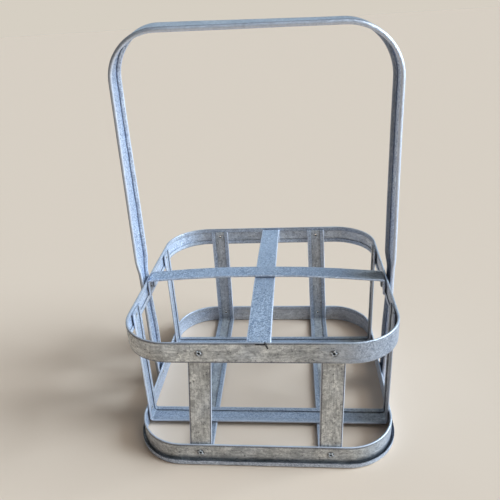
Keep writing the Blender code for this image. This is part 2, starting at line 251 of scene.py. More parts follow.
# Lamps: azimuth from +X, elevation and angular width in degrees, strength and colour.
LAMPS = {
    "window": (1, 27, 40, 5.5, (0.70, 0.86, 1.0)),
    "high_window": (-3, 55, 38, 0.8, (1.0, 1.0, 0.95)),
    "rear_window": (105, 28, 45, 0.5, (0.62, 0.82, 1.0)),
    "front_fill": (-52, 30, 45, 0.22, (1.0, 0.98, 0.93)),
    "left_bounce": (174, 20, 60, 0.40, (1.0, 0.95, 0.9)),
}

# Camera at the photograph's place, with angles in radians and the photograph's measures in pixels.
CAMERA_PLACE = (0.035349, -0.430635, 0.352184)
CAMERA_YAW = -0.111
CAMERA_PITCH = 0.436
CAMERA_ROLL = -0.064
FOCAL_PIXELS = 510.51
PHOTO_PIXELS = 500.0
SENSOR_WIDTH = 36.0
CAMERA_RANGE = (0.02, 50.0)


def left_of(direction):
    """Unit normal on the left of a direction in the plane."""
    return Vector((-direction.y, direction.x))


def turned(vector, angle):
    """A plane vector turned by an angle."""
    c = math.cos(angle)
    s = math.sin(angle)
    return Vector((vector.x * c - vector.y * s, vector.x * s + vector.y * c))


def rounded_path(corners, step, closed=False):
    """Points with left normals along a polyline whose corners (u, v, radius) are rounded."""
    path = []
    count = len(corners)
    for i, (u, v, radius) in enumerate(corners):
        here = Vector((u, v))
        before = (here - Vector(corners[i - 1][:2])).normalized()
        after = (Vector(corners[(i + 1) % count][:2]) - here).normalized()
        if not closed and i == 0:
            before = after
        if not closed and i == count - 1:
            after = before
        if radius == 0.0:
            path.append((here, left_of((before + after).normalized())))
            continue
        turn = math.atan2(before.x * after.y - before.y * after.x, before.dot(after))
        reach = radius * math.tan(abs(turn) / 2)
        start = here - before * reach
        center = start + left_of(before) * math.copysign(radius, turn)
        steps = max(2, math.ceil(abs(turn) / step))
        path.append((start - before * HOLD, left_of(before)))
        for k in range(steps + 1):
            angle = turn * k / steps
            path.append((center + turned(start - center, angle), turned(left_of(before), angle)))
        path.append((here + after * (reach + HOLD), left_of(after)))
    return path


def filled(path, closed=False):
    """The path with long straight runs divided, and the length travelled at each point."""
    points = []
    ends = path[1:] + path[:1] if closed else path[1:]
    for (a, na), (b, nb) in zip(path, ends):
        parts = max(1, round((b - a).length / STATION))
        for k in range(parts):
            share = k / parts
            points.append((a.lerp(b, share), na.lerp(nb, share).normalized()))
    if not closed:
        points.append(path[-1])
    lengths = [0.0]
    for (a, _), (b, _) in zip(points, points[1:]):
        lengths.append(lengths[-1] + (b - a).length)
    total = lengths[-1]
    if closed:
        total += (points[0][0] - points[-1][0]).length
    return points, lengths, total


def arc_pairs(center, outer, inner, start, stop, steps):
    """Pairs of points on the two faces of the sheet around a bend of the section."""
    pairs = []
    for k in range(steps + 1):
        angle = start + (stop - start) * k / steps
        arm = Vector((math.cos(angle), math.sin(angle)))
        pairs.append((center + arm * outer, center + arm * inner))
    return pairs


def section_rows(pairs, weights, bevel=EDGE_ROUND):
    """Ring of section points with weights and outer-face marks, the sheet's edges rounded off."""
    front, back = zip(*pairs)
    ring = [*front, (front[-1] + back[-1]) / 2, *reversed(back), (front[0] + back[0]) / 2]
    rows = weights + [weights[-1]] + weights[::-1] + [weights[0]]
    count = len(pairs)
    for index, toward in ((0, 1), (count - 1, -1)):
        near = (ring[index + toward] - ring[index]).normalized()
        ring[index] = ring[index] + near * bevel
        other = 2 * count - index
        near = (ring[other - toward] - ring[other]).normalized()
        ring[other] = ring[other] + near * EDGE_ROUND
    outer = [1.0] * count + [0.5] + [0.0] * count + [0.5]
    return ring, rows, outer


def eased(share):
    """A share from 0 to 1 that starts and ends gently."""
    return share * share * (3 - 2 * share)


def folded_edge(edge, hem, fold):
    """The web's end and its hem from the web round the fold to the free edge, with weights."""
    metal, thick, bend, roll = fold
    low = Vector((edge - roll, roll))
    high = Vector((edge - bend, thick - bend))
    reach = Vector((high.x - (edge - hem), 2 * metal + HEM_GAP - high.y))
    run = math.sqrt(reach.length_squared - bend * bend)
    slope = math.asin((reach.x * bend - reach.y * run) / reach.length_squared)
    arc = arc_pairs(low, roll, roll - metal, -math.pi / 2, 0.0, FOLD_STEPS // 2)
    if high.y - low.y < HOLD:
        arc.pop()
    arc += arc_pairs(high, bend, bend - metal, 0.0, math.pi / 2 + slope, FOLD_STEPS // 2)
    pairs = [(Vector((low.x - HOLD, 0.0)), Vector((low.x - HOLD, metal)))]
    rows = [(0.0, 0.0, 0.0, 0.0, FOLD_MARK)]
    for k, pair in enumerate(arc):
        share = k / (len(arc) - 1)
        pairs.append(pair)
        rows.append((0.0, ARC_HEM_MARK * share, 0.0, eased(share), 1.0))
    down = Vector((-math.cos(slope), -math.sin(slope))) * run
    outer, inner = arc[-1]
    for share in (0.35, 0.7, 1.0):
        pairs.append((outer + down * share, inner + down * share))
        hem_mark = ARC_HEM_MARK + (1 - ARC_HEM_MARK) * share
        rows.append((0.0, hem_mark, 0.0, 1.0 - 0.6 * share, 1.0 - 0.5 * share))
    return pairs, rows


def hemmed_section(fold, hem_share, bevel):
    """Strip section with weights (left hem edge, right hem edge, left fold, right fold, across)."""
    metal = fold[0]
    half = STRIP_WIDTH / 2
    hem, hem_rows = folded_edge(half, STRIP_WIDTH * hem_share, fold)
    right = [(Vector((x * half, 0.0)), Vector((x * half, metal))) for x in WEB_MARKS] + hem
    rows = [(0.0, 0.0, 0.0, 0.0, x) for x in WEB_MARKS] + hem_rows
    left = [(Vector((-o.x, o.y)), Vector((-i.x, i.y))) for o, i in reversed(right)]
    left_rows = [(b, a, d, c, -e) for a, b, c, d, e in reversed(rows)]
    middle = [(Vector((0.0, 0.0)), Vector((0.0, metal)))]
    return section_rows(left + middle + right, left_rows + [(0.0,) * 5] + rows, bevel)


def gutter_section():
    """Bottom hoop section by height: hem at the top inside, wall, rolled gutter and lip outside."""
    pairs, rows = folded_edge(BOTTOM_HOOP_TOP, STRIP_WIDTH * HEM_SHARE, STRIP_FOLD)
    pairs.reverse()
    rows.reverse()
    roll = GUTTER_BEND + SHEET
    top = pairs[-1][0].x
    low = roll + HOLD
    for share in (0.2, 0.4, 0.6, 0.8, 1.0):
        x = top + (low - top) * share
        pairs.append((Vector((x, 0.0)), Vector((x, SHEET))))
        rows.append((0.0, 0.0, 0.0, 0.0, FOLD_MARK - share))
    near = Vector((roll, -GUTTER_BEND))
    far = Vector((roll, GUTTER_BEND - GUTTER_GAP))
    bend = arc_pairs(near, GUTTER_BEND, roll, math.pi / 2, math.pi, GUTTER_STEPS)
    bend += arc_pairs(far, GUTTER_BEND, roll, math.pi, math.pi * 1.5, GUTTER_STEPS)
    pairs += bend
    rows += [(0.0, 0.0, 0.0, 0.0, GUTTER_MARK)] * len(bend)
    for share in (0.5, 1.0):
        x = roll + (LIP_HEIGHT - roll) * share
        pairs.append((Vector((x, -GUTTER_GAP)), Vector((x, -GUTTER_GAP - SHEET))))
        rows.append((share, 0.0, 0.0, 0.0, LIP_MARK))
    return section_rows(pairs, rows)


def wave(spot, pitch, seed):
    """Smooth repeatable unevenness between -1 and 1 with a given pitch."""
    return noise.noise(Vector(spot) / pitch + Vector([seed * step for step in SEED_STEPS]))


def uneven(spot, kind, seed):
    """How far a wave (pitch, height) moves the metal at a spot."""
    pitch, height = kind
    return height * wave(spot, pitch, seed)


def hem_uneven(spot, seed):
    """How far the free edge of a hem is off its line."""
    return uneven(spot, HEM_WAVE, seed) + uneven(spot, HEM_RIPPLE, seed + 5)


def swept_faces(count, rings, closed):
    """Faces over rings of count points each, and over the two ends of an open strip."""
    faces = []
    for i in range(rings if closed else rings - 1):
        one = i * count
        two = ((i + 1) % rings) * count
        for k in range(count):
            j = (k + 1) % count
            faces.append((one + k, one + j, two + j, two + k))
    if closed:
        return faces
    pairs = count // 2 - 1
    for start in (0, (rings - 1) * count):
        far = start + 2 * pairs
        faces.append((start, far, far + 1))
        for k in range(pairs - 1):
            faces.append((start + k, start + k + 1, far - 1 - k, far - k))
        faces.append((start + pairs - 1, start + pairs, start + pairs + 1))
    return faces


def point_out(mesh):
    """Turn the faces of a closed mesh outwards."""
    bm = bmesh.new()
    bm.from_mesh(mesh)
    bmesh.ops.recalc_face_normals(bm, faces=bm.faces[:])
    bm.to_mesh(mesh)
    bm.free()
    mesh.update()


def sweep(name, path, section, seed, closed=False, crimps=()):
    """Carry a section along stations (place, across, inward, length), hems a little uneven."""
    ring, rows, outer = section
    xs = np.array([p.x for p in ring])
    ys = np.array([p.y for p in ring])
    weights = np.array(rows)
    stations, total = path
    radius = total / (2 * math.pi)
    points = []
    along = []
    for place, across, inward, length in stations:
        spot = (length, 0.0, 0.0)
        if closed:
            angle = length / radius
            spot = (radius * math.cos(angle), radius * math.sin(angle), 0.0)
        bulge = sum(size * math.exp(-((length - center) / reach) ** 2) for center, reach, size in crimps)
        fold_left = uneven(spot, FOLD_WAVE, seed + 2) + bulge
        fold_right = uneven(spot, FOLD_WAVE, seed + 3) + bulge
        x = xs + weights[:, 0] * hem_uneven(spot, seed) - weights[:, 1] * hem_uneven(spot, seed + 1)
        x = x - weights[:, 2] * fold_left + weights[:, 3] * fold_right
        y = ys + uneven(spot, SWAY_WAVE, seed + 4)
        points.append(np.array(place) + x[:, None] * np.array(across) + y[:, None] * np.array(inward))
        along.append(np.column_stack([np.full(len(xs), spot[0]), np.full(len(xs), spot[1]), xs]))
    verts = np.concatenate(points)
    mesh = bpy.data.meshes.new(name)
    mesh.from_pydata([tuple(v) for v in verts], [], swept_faces(len(ring), len(points), closed))
    point_out(mesh)
    zones = np.column_stack([np.abs(weights[:, 4]), outer, weights[:, 0] + weights[:, 1]])
    return mesh, verts, np.concatenate(along), np.tile(zones, (len(points), 1))


def write_marks(mesh, verts, streak, zones):
    """Store the strip's own directions and zones on the vertices of the finished mesh."""
    tree = kdtree.KDTree(len(verts))
    for i, v in enumerate(verts):
        tree.insert(v, i)
    tree.balance()
    found = [tree.find(v.co)[1] for v in mesh.vertices]
    for name, values in (("streak", streak), ("zones", zones)):
        mark = mesh.attributes.new(name, "FLOAT_VECTOR", "POINT")
        mark.data.foreach_set("vector", values[found].astype(np.float32).ravel())


def placed(name, data):
    """A new object with its mesh, lamp or camera, put in the scene."""
    item = bpy.data.objects.new(name, data)
    bpy.context.scene.collection.objects.link(item)
    return item


def cut_away(mesh, bm):
    """The mesh less the closed solids of a bmesh, which is used up."""
    tool_mesh = bpy.data.meshes.new("tool")
    bm.to_mesh(tool_mesh)
    bm.free()
    tool = placed("tool", tool_mesh)
    body = placed("body", mesh)
    cut = body.modifiers.new("cut", "BOOLEAN")
    cut.operation = "DIFFERENCE"
    cut.solver = "EXACT"
    cut.object = tool
    graph = bpy.context.evaluated_depsgraph_get()
    result = bpy.data.meshes.new_from_object(body.evaluated_get(graph))
    bpy.data.objects.remove(body)
    bpy.data.objects.remove(tool)
    return result


def pierced(mesh, holes):
    """The mesh with round holes (center, axis) through its web."""
    bm = bmesh.new()
    for center, axis in holes:
        spin = Vector(axis).to_track_quat("Z", "Y").to_matrix().to_4x4()
        spin.translation = Vector(center)
        bmesh.ops.create_cone(bm, cap_ends=True, segments=HOLE_SIDES, radius1=HOLE_RADIUS,
                              radius2=HOLE_RADIUS, depth=HOLE_DEPTH, matrix=spin)
    return cut_away(mesh, bm)


def slit_open(mesh, one, two, wide):
    """The mesh with a narrow slit of a given width cut between two places."""
    bm = bmesh.new()
    way = two - one
    spin = way.to_track_quat("X", "Z").to_matrix().to_4x4()
    spin.translation = (one + two) / 2
    bmesh.ops.create_cube(bm, size=1.0, matrix=spin @ Matrix.Diagonal((way.length, SLIT_DEPTH, wide, 1.0)))
    return cut_away(mesh, bm)


def dressed(name, made, holes, material, slits=()):
    """Finish a swept strip as the piece that stands for the CAD node of its name."""
    mesh, verts, streak, zones = made
    if holes:
        mesh = pierced(mesh, holes)
    for one, two, wide in slits:
        mesh = slit_open(mesh, one, two, wide)
    mesh.name = name + "_strip"
    write_marks(mesh, verts, streak, zones)
    mesh.shade_smooth()
    mesh.set_sharp_from_angle(angle=STRIP_SHARP)
    mesh.materials.clear()
    mesh.materials.append(material)
    item = placed(name + "_strip", mesh)
    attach(item, "root")
    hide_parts(name)


def run_at(leg, height):
    """Sideways place of a strap's leg at a height."""
    top, foot = leg
    share = max(0.0, height - STRAP_FLOOR) / (STRAP_TOP - STRAP_FLOOR)
    return HOOP_SIZE * (foot + (top - foot) * share)


def bent_strip(corners, quarter, sideways_at):
    """Stations of a strip bent in an upright plane, turned about Z, moved sideways along its run."""
    points, lengths, total = filled(rounded_path(corners, BEND_STEP))
    turn = Matrix.Rotation(quarter, 3, "Z")
    stations = []
    for (point, normal), length in zip(points, lengths):
        share = (point.x + STRAP_FACE) / (2 * STRAP_FACE)
        place = turn @ Vector((sideways_at(share, point.y), point.x, point.y))
        inward = turn @ Vector((0, normal.x, normal.y))
        stations.append((place, turn @ Vector((1, 0, 0)), inward, length))
    return stations, total


def strap_path(legs, floor, quarter):
    """Stations of a U-shaped strap."""
    def sideways_at(share, height):
        first, second = [run_at(leg, height) for leg in legs]
        return first + (second - first) * share

    corners = [
        (-STRAP_FACE, STRAP_TOP, 0.0),
        (-STRAP_FACE, floor, STRAP_BEND),
        (STRAP_FACE, floor, STRAP_BEND),
        (STRAP_FACE, STRAP_TOP, 0.0),
    ]
    return bent_strip(corners, quarter, sideways_at)


def hoop_path(height):
    """Stations of the rounded-square plan at one height, outer face on the path."""
    signs = ((1, 1), (-1, 1), (-1, -1), (1, -1))
    corners = [(u * HALF_HOOP, v * HALF_HOOP, HOOP_CORNER) for u, v in signs]
    points, lengths, total = filled(rounded_path(corners, CORNER_STEP, closed=True), closed=True)
    stations = []
    for (point, normal), length in zip(points, lengths):
        place = Vector((point.x, point.y, height))
        stations.append((place, Vector((0, 0, 1)), Vector((normal.x, normal.y, 0)), length))
    return stations, total


def arch_points(first, last, peak):
    """Points of a gentle arch between two end heights, from the end at +u to the end at -u."""
    flat = STRAP_FACE - DIVIDER_BEND
    middle = (first + last) / 2
    points = []
    for k in range(1, ARCH_SAMPLES):
        share = 1 - 2 * k / ARCH_SAMPLES
        line = middle + (first - last) / 2 * share
        points.append((flat * share, line + (peak - middle) * (1 - share * share), 0.0))
    return points


def divider_path(end_rises, peak, run, quarter):
    """Stations of an arched divider, its ends bent down inside the top hoop."""
    first, last = [TOP_HOOP_TOP + rise for rise in end_rises]
    corners = [(STRAP_FACE, first - DIVIDER_TAB, 0.0), (STRAP_FACE, first, DIVIDER_BEND)]
    corners += arch_points(first, last, TOP_HOOP_TOP + peak)
    corners += [(-STRAP_FACE, last, DIVIDER_BEND), (-STRAP_FACE, last - DIVIDER_TAB, 0.0)]
    return bent_strip(corners, quarter, lambda share, _: HOOP_SIZE * (run[0] + (run[1] - run[0]) * share))


def leg_points(side, leans, top, corner):
    """Outer face of one handle leg from its foot to the bar, at X = side times the distance."""
    points = [
        (LEG_FACE_LOW, LEG_BOTTOM),
        (LEG_FACE_LOW, LEG_BEND_LOW),
        (LEG_FACE_TOP, LEG_BEND_TOP),
        (LEG_FACE_TOP, LEG_START),
    ]
    for share, lean in zip(LEG_SHARES, leans):
        points.append((LEG_FACE_TOP + lean, LEG_START + (top - LEG_START) * share))
    rounded = [0.0] * (len(points) - 1) + [corner]
    return [(side * u, v, radius) for (u, v), radius in zip(points, rounded)]


def leg_twists(twists, corner):
    """The strip's twist at distances up one leg, round its corner and along the bar."""
    above, upper, bar = twists
    end = HANDLE_TOP - LEG_BOTTOM - corner
    return [
        (0.0, 0.0),
        (LEG_BEND_LOW - LEG_BOTTOM, 0.0),
        ((LEG_BEND_LOW + LEG_BEND_TOP) / 2 - LEG_BOTTOM, above * SPAN_TWIST_SHARE),
        (LEG_BEND_TOP - LEG_BOTTOM, above * HOOP_TWIST_SHARE),
        (LEG_START - LEG_BOTTOM, above * HOOP_TWIST_SHARE),
        (LEG_START + LEG_SHARES[0] * (HANDLE_TOP - LEG_START) - LEG_BOTTOM, above),
        (end, upper),
        (end + math.pi * corner / 2, bar),
    ]


def twist_at(distance, keys):
    """The twist at a distance along the handle."""
    for (a, one), (b, two) in zip(keys, keys[1:]):
        if distance <= b:
            share = (distance - a) / (b - a)
            return one + (two - one) * eased(share)
    return keys[-1][1]


def handle_path():
    """The tall inverted U outside both hoops, from the right foot over the bar to the left foot."""
    right = leg_points(1, RIGHT_LEG_LEANS, HANDLE_TOP - BAR_DROP / 2, RIGHT_CORNER)
    left = leg_points(-1, LEFT_LEG_LEANS, HANDLE_TOP + BAR_DROP / 2, LEFT_CORNER)
    points, lengths, total = filled(rounded_path(right + left[::-1], CORNER_STEP))
    back = [(total - far, twist) for far, twist in leg_twists(LEFT_TWISTS, LEFT_CORNER)]
    keys = leg_twists(RIGHT_TWISTS, RIGHT_CORNER) + back[::-1]
    stations = []
    for (point, normal), length in zip(points, lengths):
        twist = twist_at(length, keys)
        place = Vector((point.x, CROSS_PLACE, point.y))
        across = Vector((0, 1, 0))
        inward = Vector((normal.x, 0, normal.y))
        across_now = across * math.cos(twist) + inward * math.sin(twist)
        inward_now = inward * math.cos(twist) - across * math.sin(twist)
        stations.append((place, across_now, inward_now, length))
    return stations, total


class Value:
    """A number, vector or colour over a surface: a node's output, whose arithmetic adds nodes."""

    def __init__(self, tree, socket):
        self.tree = tree
        self.socket = socket

    def to(self, socket):
        """Link it to a node's input."""
        self.tree.links.new(self.socket, socket)

    def calculated(self, operation, other=0.0, clamp=False):
        """The number that a math node makes of it."""
        return node(self.tree, "ShaderNodeMath", {0: self, 1: other}, operation=operation, use_clamp=clamp)

    def __add__(self, other):
        return self.calculated("ADD", other)

    def __mul__(self, other):
        return self.calculated("MULTIPLY", other)

    def vector(self, operation, other=(0.0, 0.0, 0.0), result=0):
        """What vector arithmetic makes of it."""
        return node(self.tree, "ShaderNodeVectorMath", {0: self, 1: other}, result, operation=operation)

    def scaled(self, factor):
        """The vector or colour times a number."""
        return node(self.tree, "ShaderNodeVectorMath", {0: self, "Scale": factor}, operation="SCALE")

    def part(self, axis):
        """The vector's part along an axis."""
        return node(self.tree, "ShaderNodeSeparateXYZ", {0: self}, axis)

    def span(self, low, high, to_low=0.0, to_high=1.0):
        """Its range turned into another range, without going past it."""
        return node(self.tree, "ShaderNodeMapRange", {0: self, 1: low, 2: high, 3: to_low, 4: to_high})

    def mixed(self, one, two):
        """Number one turned into number two by this share."""
        return node(self.tree, "ShaderNodeMix", {0: self, 2: one, 3: two})

    def painted(self, color, paint):
        """A colour covered by another one by this share."""
        return node(self.tree, "ShaderNodeMix", {0: self, 6: color, 7: paint}, 2, data_type="RGBA")


def node(tree, kind, inputs=None, result=0, **settings):
    """One result of a new shader node with the given inputs and settings."""
    made = tree.nodes.new(kind)
    for key, value in settings.items():
        setattr(made, key, value)
    for key, value in (inputs or {}).items():
        if isinstance(value, Value):
            value.to(made.inputs[key])
        else:
            made.inputs[key].default_value = value
    return Value(tree, made.outputs[result])


def new_material(name):
    """A new material with its node tree and shader."""
    material = bpy.data.materials.new(name)
    material.use_nodes = True
    return material, material.node_tree, material.node_tree.nodes["Principled BSDF"]


def toned(color, tone=1.0):
    """A colour as dark or bright as its tone says, in the form that a colour input takes."""
    return tuple(part * tone for part in color) + (1.0,)


def noise_at(where, scale, detail=2.0, roughness=0.5, distortion=0.0):
    """Smooth noise between 0 and 1 with features of one over the scale."""
    return node(where.tree, "ShaderNodeTexNoise", {"Vector": where, "Scale": scale, "Detail": detail,
                                                   "Roughness": roughness, "Distortion": distortion})


def near_places(where, places):
    """Distance from a spot on the surface to the nearest of several places."""
    reaches = [where.vector("DISTANCE", place, "Value") for place in places]
    nearest = reaches[0]
    for reach in reaches[1:]:
        nearest = nearest.calculated("MINIMUM", reach)
    return nearest


def surface_values(tree, seed):
    """Places, zones and noises over a strip, of which its material is mixed."""
    place = node(tree, "ShaderNodeTexCoord", result="Object")
    shifted = node(tree, "ShaderNodeMapping", {0: place, 1: (seed, seed * 0.7, seed * 1.3)})
    strip = node(tree, "ShaderNodeAttribute", result="Vector", attribute_name="streak")
    zones = node(tree, "ShaderNodeAttribute", result="Vector", attribute_name="zones")
    streaks = node(tree, "ShaderNodeMapping", {0: strip, 1: (seed, 0.0, 0.0), 3: STREAK_SCALE})
    smears = node(tree, "ShaderNodeMapping", {0: strip, 1: (seed, 0.0, 0.0), 3: SMEAR_SCALE})
    crystals = node(tree, "ShaderNodeTexVoronoi", {"Vector": shifted, "Scale": SPANGLE}, "Color")
    grain = node(tree, "ShaderNodeSeparateColor", {0: crystals})
    fine = noise_at(shifted, FINE_SCALE)
    return SimpleNamespace(
        place=place,
        sideways=place.part("X"),
        height=place.part("Z"),
        normal=node(tree, "ShaderNodeNewGeometry", result="Normal"),
        across=strip.part("Z"),
        edge=zones.part("X"),
        outer=zones.part("Y"),
        hem=zones.part("Z"),
        crystals=crystals,
        fine=fine,
        speck=grain * 0.62 + fine * 0.38,
        small=noise_at(shifted, SMALL_SCALE, 4.0, 0.6, 0.6),
        blotch=noise_at(smears, 1.0, 6.0, 0.66, 1.2),
        patch=noise_at(shifted, PATCH_SCALE, 3.0),
        wide=noise_at(shifted, WIDE_SCALE, 3.0),
        lines=noise_at(streaks, 1.0, 4.0, 0.6),
    )


@dataclass
class Finish:
    """How the zinc of one piece looks. Its sideways places are in metres from the middle."""

    seed: float
    # Shares of dull weathering on the outer face and on the inner one.
    dull_outside: float
    dull_inside: float
    # Brightness of the whole piece, of its inner face, of its rims with their wear and painted highlight,
    # and of the painted shade at the floor.
    tone: float = 1.0
    inside_tone: float = 1.0
    rim_tone: float = 1.0
    floor_shade_tone: float = 1.0
    # Tilt of the crystals against each other.
    sparkle: float = 0.3
    # Darkness of the painted shade in the crease beside a fold, of the painted shade and grime at the hem's
    # inner edge and of the painted shade at the foot's wall.
    crease_dark: float = 0.95
    hem_shade_and_dirt: float = 1.0
    root_shade: float = 0.0
    # Places beyond which the outer face is clean, the inner one is clean, and both are dull: a stain on the
    # crosswise straps, painted shadow of the handle's right leg on the cross divider.
    clean_right: float = None
    clean_left: float = None
    dull_and_shadow_right: float = None
    # Sideways stretches (start, stop, tone) over which the outer face changes its brightness.
    fades: tuple = ()
    # Places of sooty joints and of painted shade along the seam's slits.
    joints: tuple = ()
    slit_shades: tuple = ()
    is_handle: bool = False


def dull_share(at, finish):
    """How much of the zinc is dull: more on the outer face, less on the hems and on clean stretches, more
    on the dull stretch at the right, which on the cross divider is painted shadow.
    """
    inside = finish.dull_inside
    outside = finish.dull_outside
    if finish.clean_left is not None:
        start = finish.clean_left - 25 * MM
        inside = at.sideways.span(start, finish.clean_left, CLEAN_SHARE * inside, inside)
    if finish.clean_right is not None:
        stop = finish.clean_right + CLEAN_REACH
        outside = at.sideways.span(finish.clean_right, stop, outside, CLEAN_SHARE * outside)
    share = at.outer.span(0.3, 0.7, inside, outside) * at.hem.span(0.02, 0.12, 1.0, 0.25)
    share = share.calculated("MULTIPLY", at.wide.span(0.3, 0.58, 0.72, 1.0), clamp=True)
    if finish.dull_and_shadow_right is not None:
        beyond = at.sideways.span(finish.dull_and_shadow_right, finish.dull_and_shadow_right + 30 * MM)
        share = beyond.mixed(share, 0.8)
    return share


def clean_zinc(at, tone):
    """Blue spangle with wide soft clouds."""
    color = at.speck.span(0.22, 0.80).painted(toned(SPANGLE_DARK, tone), toned(SPANGLE_BRIGHT, tone))
    return at.wide.span(0.38, 0.66, 0.0, 0.35).painted(color, toned(SPANGLE_CLOUD, tone))


def dull_zinc(at, tone):
    """Warm grey weathering: smeared blotches, stains, chalky spots and grit, uneven over patches."""
    color = at.blotch.span(0.40, 0.60).painted(toned(DULL_DARK, tone), toned(DULL_PALE, tone))
    color = at.small.span(0.53, 0.62, 0.0, 0.7).painted(color, toned(DULL_STAIN, tone))
    color = at.small.span(0.45, 0.37, 0.0, 0.7).painted(color, toned(DULL_CHALK, tone))
    color = at.speck.span(0.35, 0.75, 0.0, 0.35).painted(color, toned(DULL_STAIN, tone))
    return color.scaled(at.patch.span(0.36, 0.64, 0.80, 1.13))


def with_streaks(at, dull, color):
    """The colour with grey streaks along the strip and black pits, stronger where it is dull."""
    streaks = at.lines.span(0.50, 0.64) * at.small.span(0.35, 0.6, 0.3, 1.0)
    pits = at.small.span(0.62, 0.67) * at.lines.span(0.45, 0.55)
    color = (streaks * dull.span(0.0, 1.0, 0.12, 0.5)).painted(color, toned(STREAK_GREY))
    return (pits * dull.span(0.0, 1.0, 0.1, 0.9)).painted(color, toned(SOOT_AND_SHADE))


def crease_share(at, finish):
    """Where painted shade lies in the crease as the outer face turns into a fold, weaker on the clean
    stretch and on the handle's legs.
    """
    crease = at.edge.span(0.84, 0.92) * at.hem.span(0.045, 0.02) * at.outer.span(0.3, 0.7)
    if finish.is_handle:
        crease *= at.sideways.calculated("ABSOLUTE").span(98 * MM, 80 * MM)
    if finish.clean_right is not None:
        crease *= at.sideways.span(finish.clean_right, finish.clean_right + 30 * MM, 1.0, 0.1)
    return crease


def with_folds(at, finish, crease, color):
    """The colour with painted shade in the creases, rims bright with wear and painted highlight, and
    painted shade with grime at the hems' inner edges.
    """
    dark = finish.crease_dark
    crease_shade = crease * at.fine.span(0.3, 0.6, 0.5 * dark, dark)
    rim = toned(RIM_WEAR_AND_HIGHLIGHT, finish.rim_tone)
    if finish.clean_right is not None:
        beyond = at.sideways.span(finish.clean_right, finish.clean_right + CLEAN_REACH)
        rim = beyond.painted(rim, toned(RIM_CLEAN_WEAR_AND_HIGHLIGHT))
    # The rims' wear and painted highlight.
    rim_wear_and_highlight = at.edge.span(0.97, 1.0) * at.hem.span(0.3, 0.15) * at.hem.span(0.01, 0.04, 1.0 - dark, 1.0)
    rim_wear_and_highlight *= at.small.span(0.3, 0.6, 0.5, 0.95)
    # Painted shade with grime in the crevice at the hem's free edge.
    crevice_shade_and_dirt = at.hem.span(0.90, 1.0) * at.fine.span(0.3, 0.7, 0.5 * finish.hem_shade_and_dirt, finish.hem_shade_and_dirt)
    color = rim_wear_and_highlight.painted(crease_shade.painted(color, toned(CREASE_SHADE)), rim)
    return crevice_shade_and_dirt.painted(color, toned(HEM_SHADE_AND_DIRT))


def with_places(at, finish, color):
    """The colour with painted shade near the floor, changed on the fading stretches, and with painted shade
    on the foot's wall.
    """
    # Painted shade near the floor.
    floor_shade = at.height.span(6 * MM, 30 * MM, 1.0 - finish.floor_shade_tone, 0.0)
    color = floor_shade.painted(color, toned(SOOT_AND_SHADE))
    outside_tone = 1.0
    for start, stop, tone in finish.fades:
        outside_tone = at.sideways.span(start, stop, 1.0, tone) * outside_tone
    color = color.scaled(at.outer.mixed(finish.inside_tone, outside_tone))
    # Painted shade on the wall's outer face just above the gutter.
    root_shade_share = at.height.span(9 * MM, 5.5 * MM) * at.edge.span(0.78, 0.6) * at.outer
    root_shade_share *= at.wide.span(0.42, 0.6, 0.45 * finish.root_shade, finish.root_shade)
    return root_shade_share.painted(color, toned(ROOT_SHADE))


def by_part(at, bar, left, right):
    """A value for the handle's bar that turns into others on its two legs."""
    on_left = at.sideways.span(-60 * MM, -105 * MM)
    on_right = at.sideways.span(60 * MM, 105 * MM)
    return on_right.mixed(on_left.mixed(bar, left), right)


def handle_light_and_shade(at):
    """Painted light and shade on the handle: brightness of its inner face, of its hems, of its folds and of
    its outer face.
    """
    inner = by_part(at, bar=0.65, left=1.08, right=1.2)
    hems = by_part(at, bar=0.92, left=1.05, right=at.across.span(0.0, 3 * MM).mixed(0.82, 0.42))
    folds = by_part(at, bar=1.02, left=0.42, right=1.0)
    face = at.edge.span(0.93, 0.99).mixed(0.64, folds)
    return at.outer.mixed(inner, at.hem.span(0.05, 0.09).mixed(face, hems))


def with_joints(at, finish, color):
    """The colour with uneven sooty darkening round each joint and painted shade along the seam's slits."""
    if finish.joints:
        around = near_places(at.place, finish.joints) + at.small.span(0.3, 0.7, -1.0 * MM, 1.0 * MM)
        color = around.span(3.6 * MM, 2.6 * MM, 0.0, 0.75).painted(color, toned(SOOT_AND_SHADE))
    if finish.slit_shades:
        slit_shade_share = near_places(at.place, finish.slit_shades).span(0.9 * MM, 0.6 * MM)
        color = slit_shade_share.painted(color, toned(SLIT_SHADE))
    return color


def zinc_normal(at, finish, dull, crease):
    """Crystals tilted against each other, and a fine relief that is deeper where the zinc is dull."""
    tilt = at.crystals.vector("SUBTRACT", (0.5, 0.5, 0.5)).scaled(dull.span(0.0, 1.0, finish.sparkle, 0.12))
    facing = at.normal.vector("ADD", tilt).vector("NORMALIZE")
    relief = at.fine * 0.3 + at.blotch * 0.7 + at.small * 0.7 + at.lines * 0.35 + crease * -1.2
    relief *= dull.span(0.0, 0.7, 0.15, 1.0)
    return node(at.normal.tree, "ShaderNodeBump", {"Height": relief, "Strength": RELIEF_STRENGTH,
                                                   "Distance": RELIEF_DEPTH, "Normal": facing})


